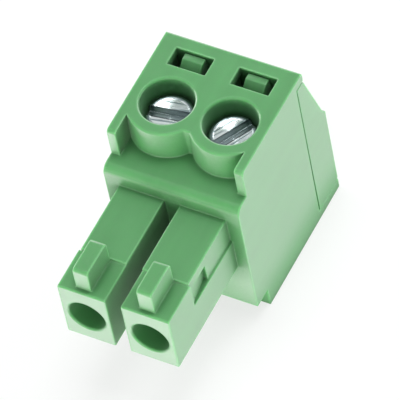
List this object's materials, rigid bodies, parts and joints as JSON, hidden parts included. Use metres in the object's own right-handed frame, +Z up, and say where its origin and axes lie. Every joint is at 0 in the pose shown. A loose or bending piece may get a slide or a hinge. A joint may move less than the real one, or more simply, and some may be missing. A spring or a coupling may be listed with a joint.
{
  "type": "pluggable terminal block",
  "caption": "Two-pole pluggable terminal block with moulded plug fingers, coding ribs, rising-cage screw clamps and funnel wire entries.",
  "frame": {"origin": "middle of the flat underside's plane under the whole block (centre of the bounding box in X and Y, Z at the underside)", "axes": "+Y towards the wire entries, -Y towards the pin sockets, +Z up through the screws, +X from the first pole to the second"},
  "size_m": [0.0074, 0.0154, 0.011],
  "materials": {
    "housing_plastic": "satin moulded polyamide",
    "cover_plastic": "satin moulded polyamide",
    "screw_zinc": "bright zinc plate",
    "cage_nickel": "nickel plate",
    "contact_tin": "tin plate"
  },
  "bodies": {
    "block": {"housing": "housing_plastic", "rear_cover": "cover_plastic", "contact_1": "contact_tin", "contact_2": "contact_tin"},
    "first_screw": {"screw_1": "screw_zinc"},
    "second_screw": {"screw_2": "screw_zinc"},
    "first_cage": {"cage_1": "cage_nickel"},
    "second_cage": {"cage_2": "cage_nickel"}
  },
  "joints": [
    {"name": "screw_1_turn", "type": "hinge", "parent": "block", "child": "first_screw", "pos_m": [-0.00175, 0.00245, 0.0096], "axis": [0, 0, -1], "range_deg": [0, 1980]},
    {"name": "screw_2_turn", "type": "hinge", "parent": "block", "child": "second_screw", "pos_m": [0.00175, 0.00245, 0.0096], "axis": [0, 0, -1], "range_deg": [0, 1980]},
    {"name": "cage_1_lift", "type": "slide", "parent": "block", "child": "first_cage", "axis": [0, 0, 1], "range_m": [0, 0.0022]},
    {"name": "cage_2_lift", "type": "slide", "parent": "block", "child": "second_cage", "axis": [0, 0, 1], "range_m": [0, 0.0022]}
  ],
  "couplings": [
    {"joint": "screw_1_turn", "follows": "cage_1_lift", "rad_per_m": 15708},
    {"joint": "screw_2_turn", "follows": "cage_2_lift", "rad_per_m": 15708}
  ]
}
